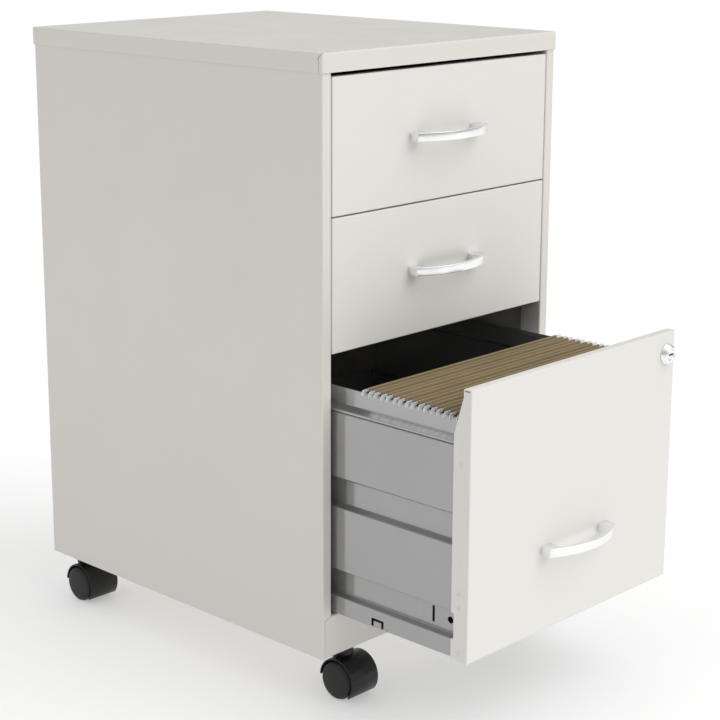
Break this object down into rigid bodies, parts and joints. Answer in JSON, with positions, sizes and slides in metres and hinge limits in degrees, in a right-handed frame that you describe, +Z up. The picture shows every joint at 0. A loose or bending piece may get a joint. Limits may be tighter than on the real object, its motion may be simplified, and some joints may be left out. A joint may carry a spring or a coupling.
{
  "type": "mobile filing cabinet",
  "caption": "Steel under-desk pedestal with box drawers over a letter-size file drawer, bow handles, a cam lock and twin-wheel casters.",
  "frame": {"origin": "on the floor, under the middle of the cabinet body, with all drawers left out of account", "axes": "+X to the cabinet's right as seen from the front, -Y to the front, +Z up"},
  "size_m": [0.362, 0.6639, 0.681],
  "materials": {
    "cabinet_paint": "semi-gloss powder coat, light warm grey",
    "front_paint": "semi-gloss powder coat, light warm grey",
    "drawer_body_paint": "satin powder coat, mid grey",
    "zinc_steel": "zinc plated",
    "nylon": "natural nylon",
    "bright_chrome": "bright plated",
    "card": "kraft card",
    "rod_steel": "bright rolled strip",
    "black_nylon": "moulded, fine grain",
    "wheel_black": "moulded, satin"
  },
  "bodies": {
    "cabinet": {"top_panel": "cabinet_paint", "left_side_panel": "cabinet_paint", "right_side_panel": "cabinet_paint", "back_panel": "cabinet_paint", "base_pan": "cabinet_paint", "drawer_1_cabinet_rails": "zinc_steel", "drawer_2_cabinet_rails": "zinc_steel", "drawer_3_cabinet_rails": "zinc_steel", "rail_glides": "nylon", "caster_screws": "zinc_steel", "caster_front_left_plate": "zinc_steel", "caster_front_right_plate": "zinc_steel", "caster_rear_left_plate": "zinc_steel", "caster_rear_right_plate": "zinc_steel"},
    "drawer_1": {"drawer_1_front": "front_paint", "drawer_1_tray": "drawer_body_paint", "drawer_1_handle": "bright_chrome", "drawer_1_handle_screws": "zinc_steel", "drawer_1_rear_glides": "nylon"},
    "drawer_2": {"drawer_2_front": "front_paint", "drawer_2_tray": "drawer_body_paint", "drawer_2_handle": "bright_chrome", "drawer_2_handle_screws": "zinc_steel", "drawer_2_rear_glides": "nylon"},
    "drawer_3": {"drawer_3_front": "front_paint", "drawer_3_inner_panel": "drawer_body_paint", "drawer_3_left_side": "drawer_body_paint", "drawer_3_right_side": "drawer_body_paint", "drawer_3_floor": "drawer_body_paint", "drawer_3_back": "drawer_body_paint", "drawer_3_hanging_rails": "drawer_body_paint", "drawer_3_handle": "bright_chrome", "drawer_3_handle_screws": "zinc_steel", "drawer_3_rear_glides": "nylon", "lock_housing": "bright_chrome", "lock_nut": "zinc_steel"},
    "lock_barrel": {"lock_plug": "bright_chrome", "lock_cam": "zinc_steel"},
    "folders": {"hanging_folders": "card", "folder_rods": "rod_steel"},
    "caster_front_left": {"caster_front_left_hood": "black_nylon", "caster_front_left_axle": "zinc_steel"},
    "wheel_front_left_outer": {"caster_front_left_outer_wheel": "wheel_black"},
    "wheel_front_left_inner": {"caster_front_left_inner_wheel": "wheel_black"},
    "caster_front_right": {"caster_front_right_hood": "black_nylon", "caster_front_right_axle": "zinc_steel"},
    "wheel_front_right_outer": {"caster_front_right_outer_wheel": "wheel_black"},
    "wheel_front_right_inner": {"caster_front_right_inner_wheel": "wheel_black"},
    "caster_rear_left": {"caster_rear_left_hood": "black_nylon", "caster_rear_left_axle": "zinc_steel"},
    "wheel_rear_left_outer": {"caster_rear_left_outer_wheel": "wheel_black"},
    "wheel_rear_left_inner": {"caster_rear_left_inner_wheel": "wheel_black"},
    "caster_rear_right": {"caster_rear_right_hood": "black_nylon", "caster_rear_right_axle": "zinc_steel"},
    "wheel_rear_right_outer": {"caster_rear_right_outer_wheel": "wheel_black"},
    "wheel_rear_right_inner": {"caster_rear_right_inner_wheel": "wheel_black"}
  },
  "joints": [
    {"name": "drawer_1_slide", "type": "slide", "parent": "cabinet", "child": "drawer_1", "axis": [0, -1, 0], "range_m": [0, 0.3]},
    {"name": "drawer_2_slide", "type": "slide", "parent": "cabinet", "child": "drawer_2", "axis": [0, -1, 0], "range_m": [0, 0.3]},
    {"name": "drawer_3_slide", "type": "slide", "parent": "cabinet", "child": "drawer_3", "axis": [0, -1, 0], "range_m": [-0.1807, 0.12]},
    {"name": "lock_turn", "type": "hinge", "parent": "drawer_3", "child": "lock_barrel", "pos_m": [0.152, -0.4139, 0.3569], "axis": [0, 1, 0], "range_deg": [0, 180]},
    {"name": "folders_slide", "type": "slide", "parent": "drawer_3", "child": "folders", "axis": [0, 1, 0], "range_m": [0, 0.26]},
    {"name": "caster_front_left_swivel", "type": "hinge", "parent": "cabinet", "child": "caster_front_left", "pos_m": [-0.1265, -0.2045, 0.05], "axis": [0, 0, 1], "continuous": true},
    {"name": "caster_front_left_outer_roll", "type": "hinge", "parent": "caster_front_left", "child": "wheel_front_left_outer", "pos_m": [-0.1265, -0.2135, 0.021], "axis": [1, 0, 0], "continuous": true},
    {"name": "caster_front_left_inner_roll", "type": "hinge", "parent": "caster_front_left", "child": "wheel_front_left_inner", "pos_m": [-0.1265, -0.2135, 0.021], "axis": [1, 0, 0], "continuous": true},
    {"name": "caster_front_right_swivel", "type": "hinge", "parent": "cabinet", "child": "caster_front_right", "pos_m": [0.1265, -0.2045, 0.05], "axis": [0, 0, 1], "continuous": true},
    {"name": "caster_front_right_outer_roll", "type": "hinge", "parent": "caster_front_right", "child": "wheel_front_right_outer", "pos_m": [0.1265, -0.2135, 0.021], "axis": [1, 0, 0], "continuous": true},
    {"name": "caster_front_right_inner_roll", "type": "hinge", "parent": "caster_front_right", "child": "wheel_front_right_inner", "pos_m": [0.1265, -0.2135, 0.021], "axis": [1, 0, 0], "continuous": true},
    {"name": "caster_rear_left_swivel", "type": "hinge", "parent": "cabinet", "child": "caster_rear_left", "pos_m": [-0.148, 0.2045, 0.05], "axis": [0, 0, 1], "continuous": true},
    {"name": "caster_rear_left_outer_roll", "type": "hinge", "parent": "caster_rear_left", "child": "wheel_rear_left_outer", "pos_m": [-0.148, 0.1955, 0.021], "axis": [1, 0, 0], "continuous": true},
    {"name": "caster_rear_left_inner_roll", "type": "hinge", "parent": "caster_rear_left", "child": "wheel_rear_left_inner", "pos_m": [-0.148, 0.1955, 0.021], "axis": [1, 0, 0], "continuous": true},
    {"name": "caster_rear_right_swivel", "type": "hinge", "parent": "cabinet", "child": "caster_rear_right", "pos_m": [0.148, 0.2045, 0.05], "axis": [0, 0, 1], "continuous": true},
    {"name": "caster_rear_right_outer_roll", "type": "hinge", "parent": "caster_rear_right", "child": "wheel_rear_right_outer", "pos_m": [0.148, 0.1955, 0.021], "axis": [1, 0, 0], "continuous": true},
    {"name": "caster_rear_right_inner_roll", "type": "hinge", "parent": "caster_rear_right", "child": "wheel_rear_right_inner", "pos_m": [0.148, 0.1955, 0.021], "axis": [1, 0, 0], "continuous": true}
  ]
}
